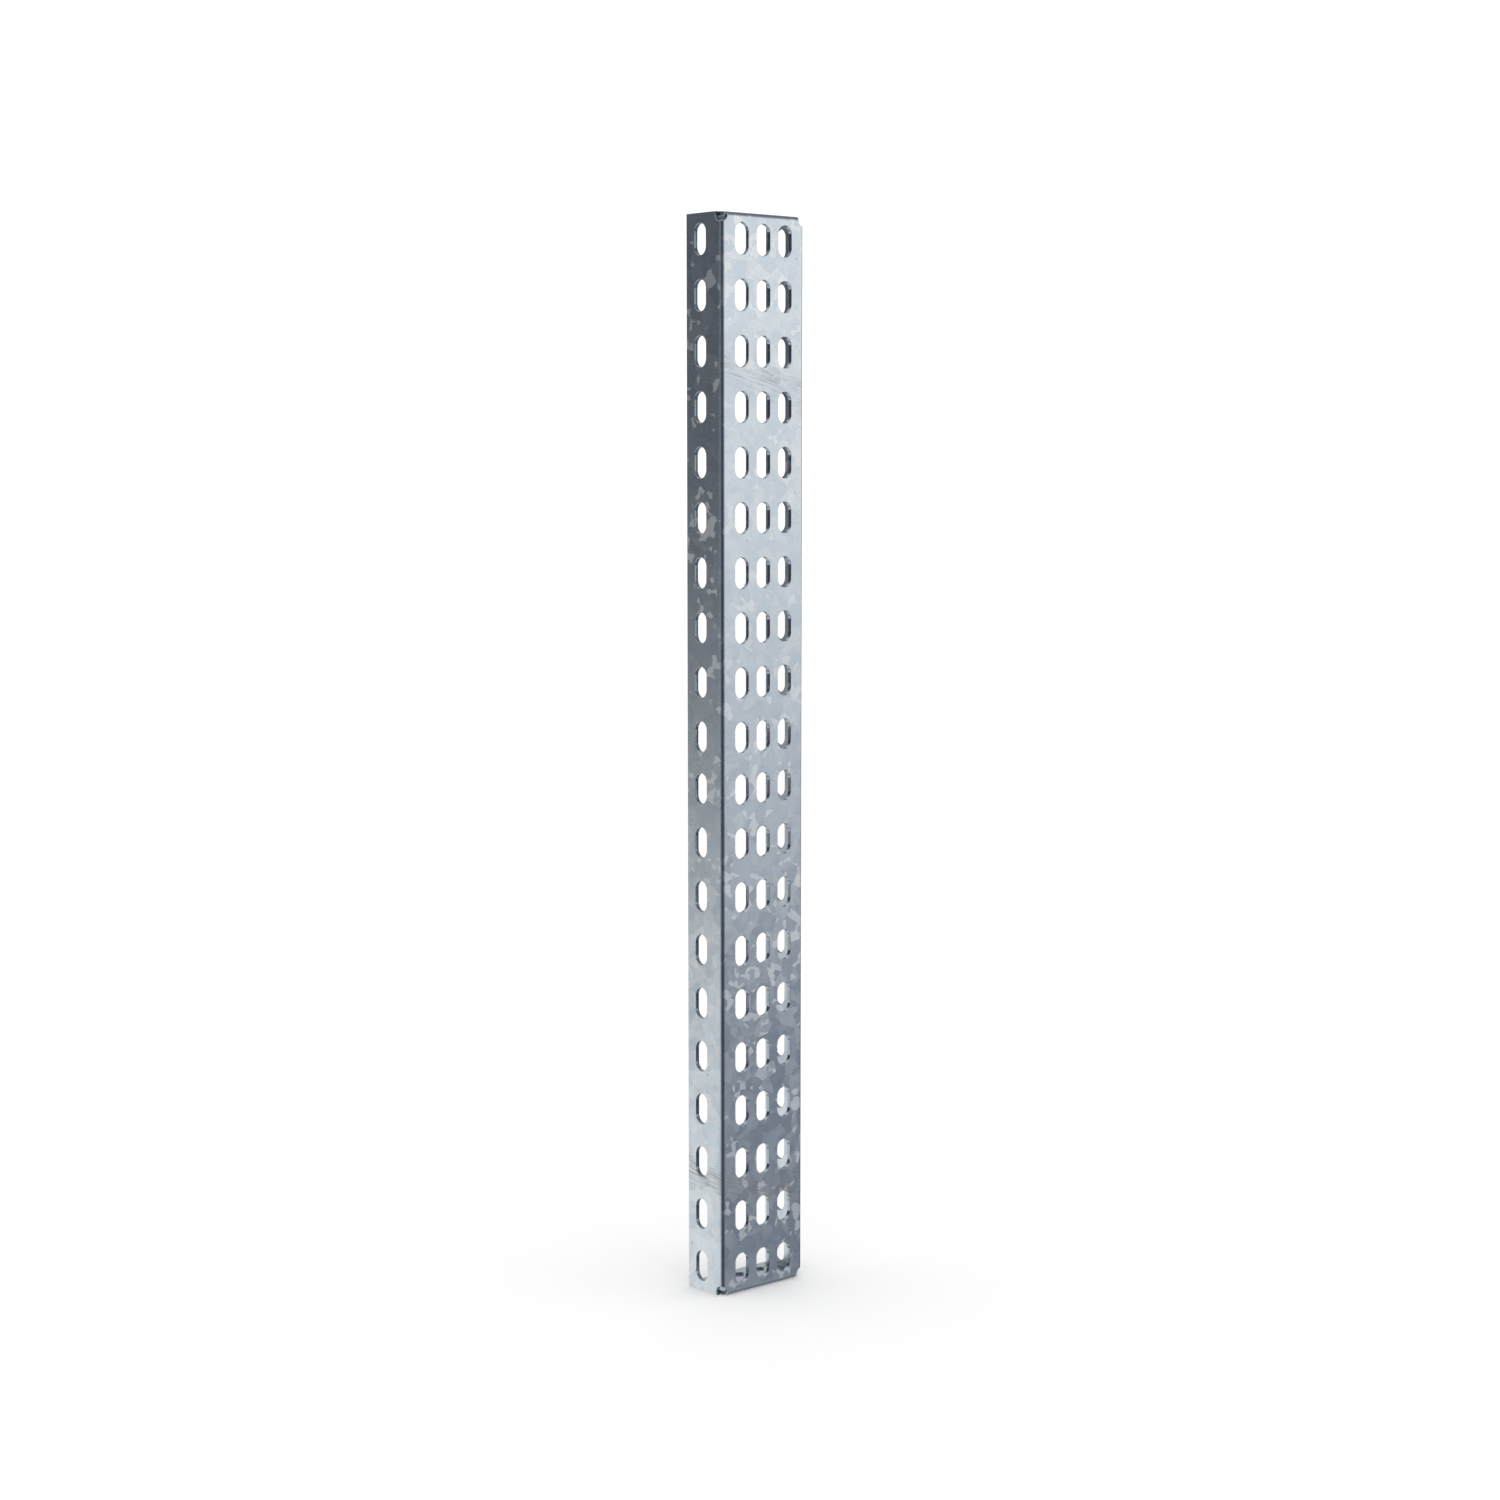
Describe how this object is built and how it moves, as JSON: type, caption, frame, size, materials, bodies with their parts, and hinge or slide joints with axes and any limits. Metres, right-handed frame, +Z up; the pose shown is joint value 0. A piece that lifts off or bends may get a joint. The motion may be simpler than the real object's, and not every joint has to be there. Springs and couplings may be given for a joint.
{
  "type": "slotted mounting channel",
  "caption": "Upright channel of folded galvanised sheet, slotted in its web and side flanges, with closed ends and an open back.",
  "frame": {"origin": "middle of the bottom end, on the plane that the channel stands on", "axes": "+Z up along the channel's length, +X across the web, -Y out of the slotted web's face, so the open back faces +Y"},
  "size_m": [0.1, 0.049, 0.995],
  "materials": {
    "galvanised_sheet": "hot-dip galvanised, satin"
  },
  "bodies": {
    "root": {"slotted_channel": "galvanised_sheet"}
  },
  "joints": []
}
